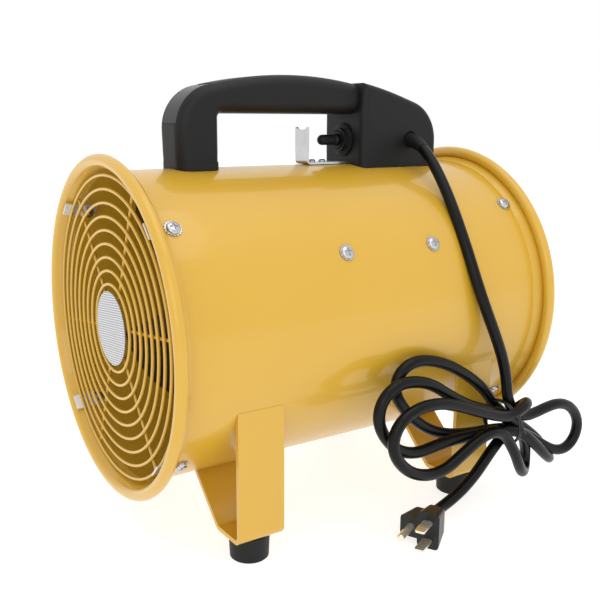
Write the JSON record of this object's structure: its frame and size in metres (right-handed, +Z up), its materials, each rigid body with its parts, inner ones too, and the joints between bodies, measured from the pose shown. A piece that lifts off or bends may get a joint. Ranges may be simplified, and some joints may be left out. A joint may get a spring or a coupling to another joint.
{
  "type": "axial air mover",
  "caption": "Portable axial blower: round sheet-steel duct with wire guards, carrying handle with switch box, strap feet and a tied mains cord.",
  "frame": {"origin": "on the floor below the middle of the duct, under the middle of the four feet", "axes": "+Z up; the fan axis runs along Y, the intake guard with the centre disc faces -Y and the outlet +Y; the mains cord leaves on +X"},
  "size_m": [0.2534, 0.3367, 0.3034],
  "materials": {
    "yellow_enamel": "gloss enamel",
    "silver_label": "satin foil",
    "zinc_plate": "bright zinc",
    "dark_zinc": "dull zinc",
    "black_bracket": "semi-gloss powder coat",
    "black_rubber": "matt rubber",
    "black_moulding": "fine moulded grain",
    "grey_insert": "satin",
    "black_plastic": "satin",
    "motor_enamel": "matt enamel",
    "core_steel": "bare steel",
    "copper": "enamelled wire",
    "cord_rubber": "smooth jacket",
    "tie_nylon": "nylon",
    "brass": "plain brass"
  },
  "bodies": {
    "housing": {"bracket_nuts": "dark_zinc", "bracket_screws": "dark_zinc", "centre_disc": "silver_label", "cord_gland": "cord_rubber", "cord_hank": "cord_rubber", "cord_lead": "cord_rubber", "cord_tail": "cord_rubber", "cord_tie": "tie_nylon", "duct_housing": "yellow_enamel", "foot_screws": "zinc_plate", "foot_strap_front_left": "yellow_enamel", "foot_strap_front_right": "yellow_enamel", "foot_strap_rear_left": "yellow_enamel", "foot_strap_rear_right": "yellow_enamel", "front_bearing": "core_steel", "front_guard": "yellow_enamel", "front_guard_clips": "zinc_plate", "front_winding": "copper", "guard_clip_nuts": "dark_zinc", "guard_clip_screws": "zinc_plate", "handle": "black_moulding", "handle_insert": "grey_insert", "handle_screws": "zinc_plate", "lead_grommet": "black_rubber", "motor_bracket_1": "black_bracket", "motor_bracket_2": "black_bracket", "motor_bracket_3": "black_bracket", "motor_front_cap": "motor_enamel", "motor_lead": "cord_rubber", "motor_rear_cap": "motor_enamel", "motor_shell": "motor_enamel", "plug_blades": "brass", "plug_body": "cord_rubber", "plug_earth_pin": "brass", "rear_bearing": "core_steel", "rear_guard": "yellow_enamel", "rear_guard_clips": "zinc_plate", "rear_winding": "copper", "rubber_foot_front_left": "black_rubber", "rubber_foot_front_right": "black_rubber", "rubber_foot_rear_left": "black_rubber", "rubber_foot_rear_right": "black_rubber", "run_capacitor": "black_plastic", "stator_core": "core_steel", "switch_body": "black_moulding", "switch_boot": "black_rubber", "switch_guard_plate": "zinc_plate", "switch_guard_screws": "zinc_plate", "switch_nut": "zinc_plate", "terminal_block": "black_moulding"},
    "impeller": {"impeller": "black_plastic", "motor_shaft": "core_steel", "rotor": "core_steel"},
    "toggle": {"toggle_lever": "black_rubber"}
  },
  "joints": [
    {"name": "impeller_spin", "type": "hinge", "parent": "housing", "child": "impeller", "pos_m": [0, 0, 0.141], "axis": [0, 1, 0], "continuous": true},
    {"name": "toggle_tilt", "type": "hinge", "parent": "housing", "child": "toggle", "pos_m": [0, 0.04005, 0.2593], "axis": [1, 0, 0], "range_deg": [-12, 12]}
  ]
}
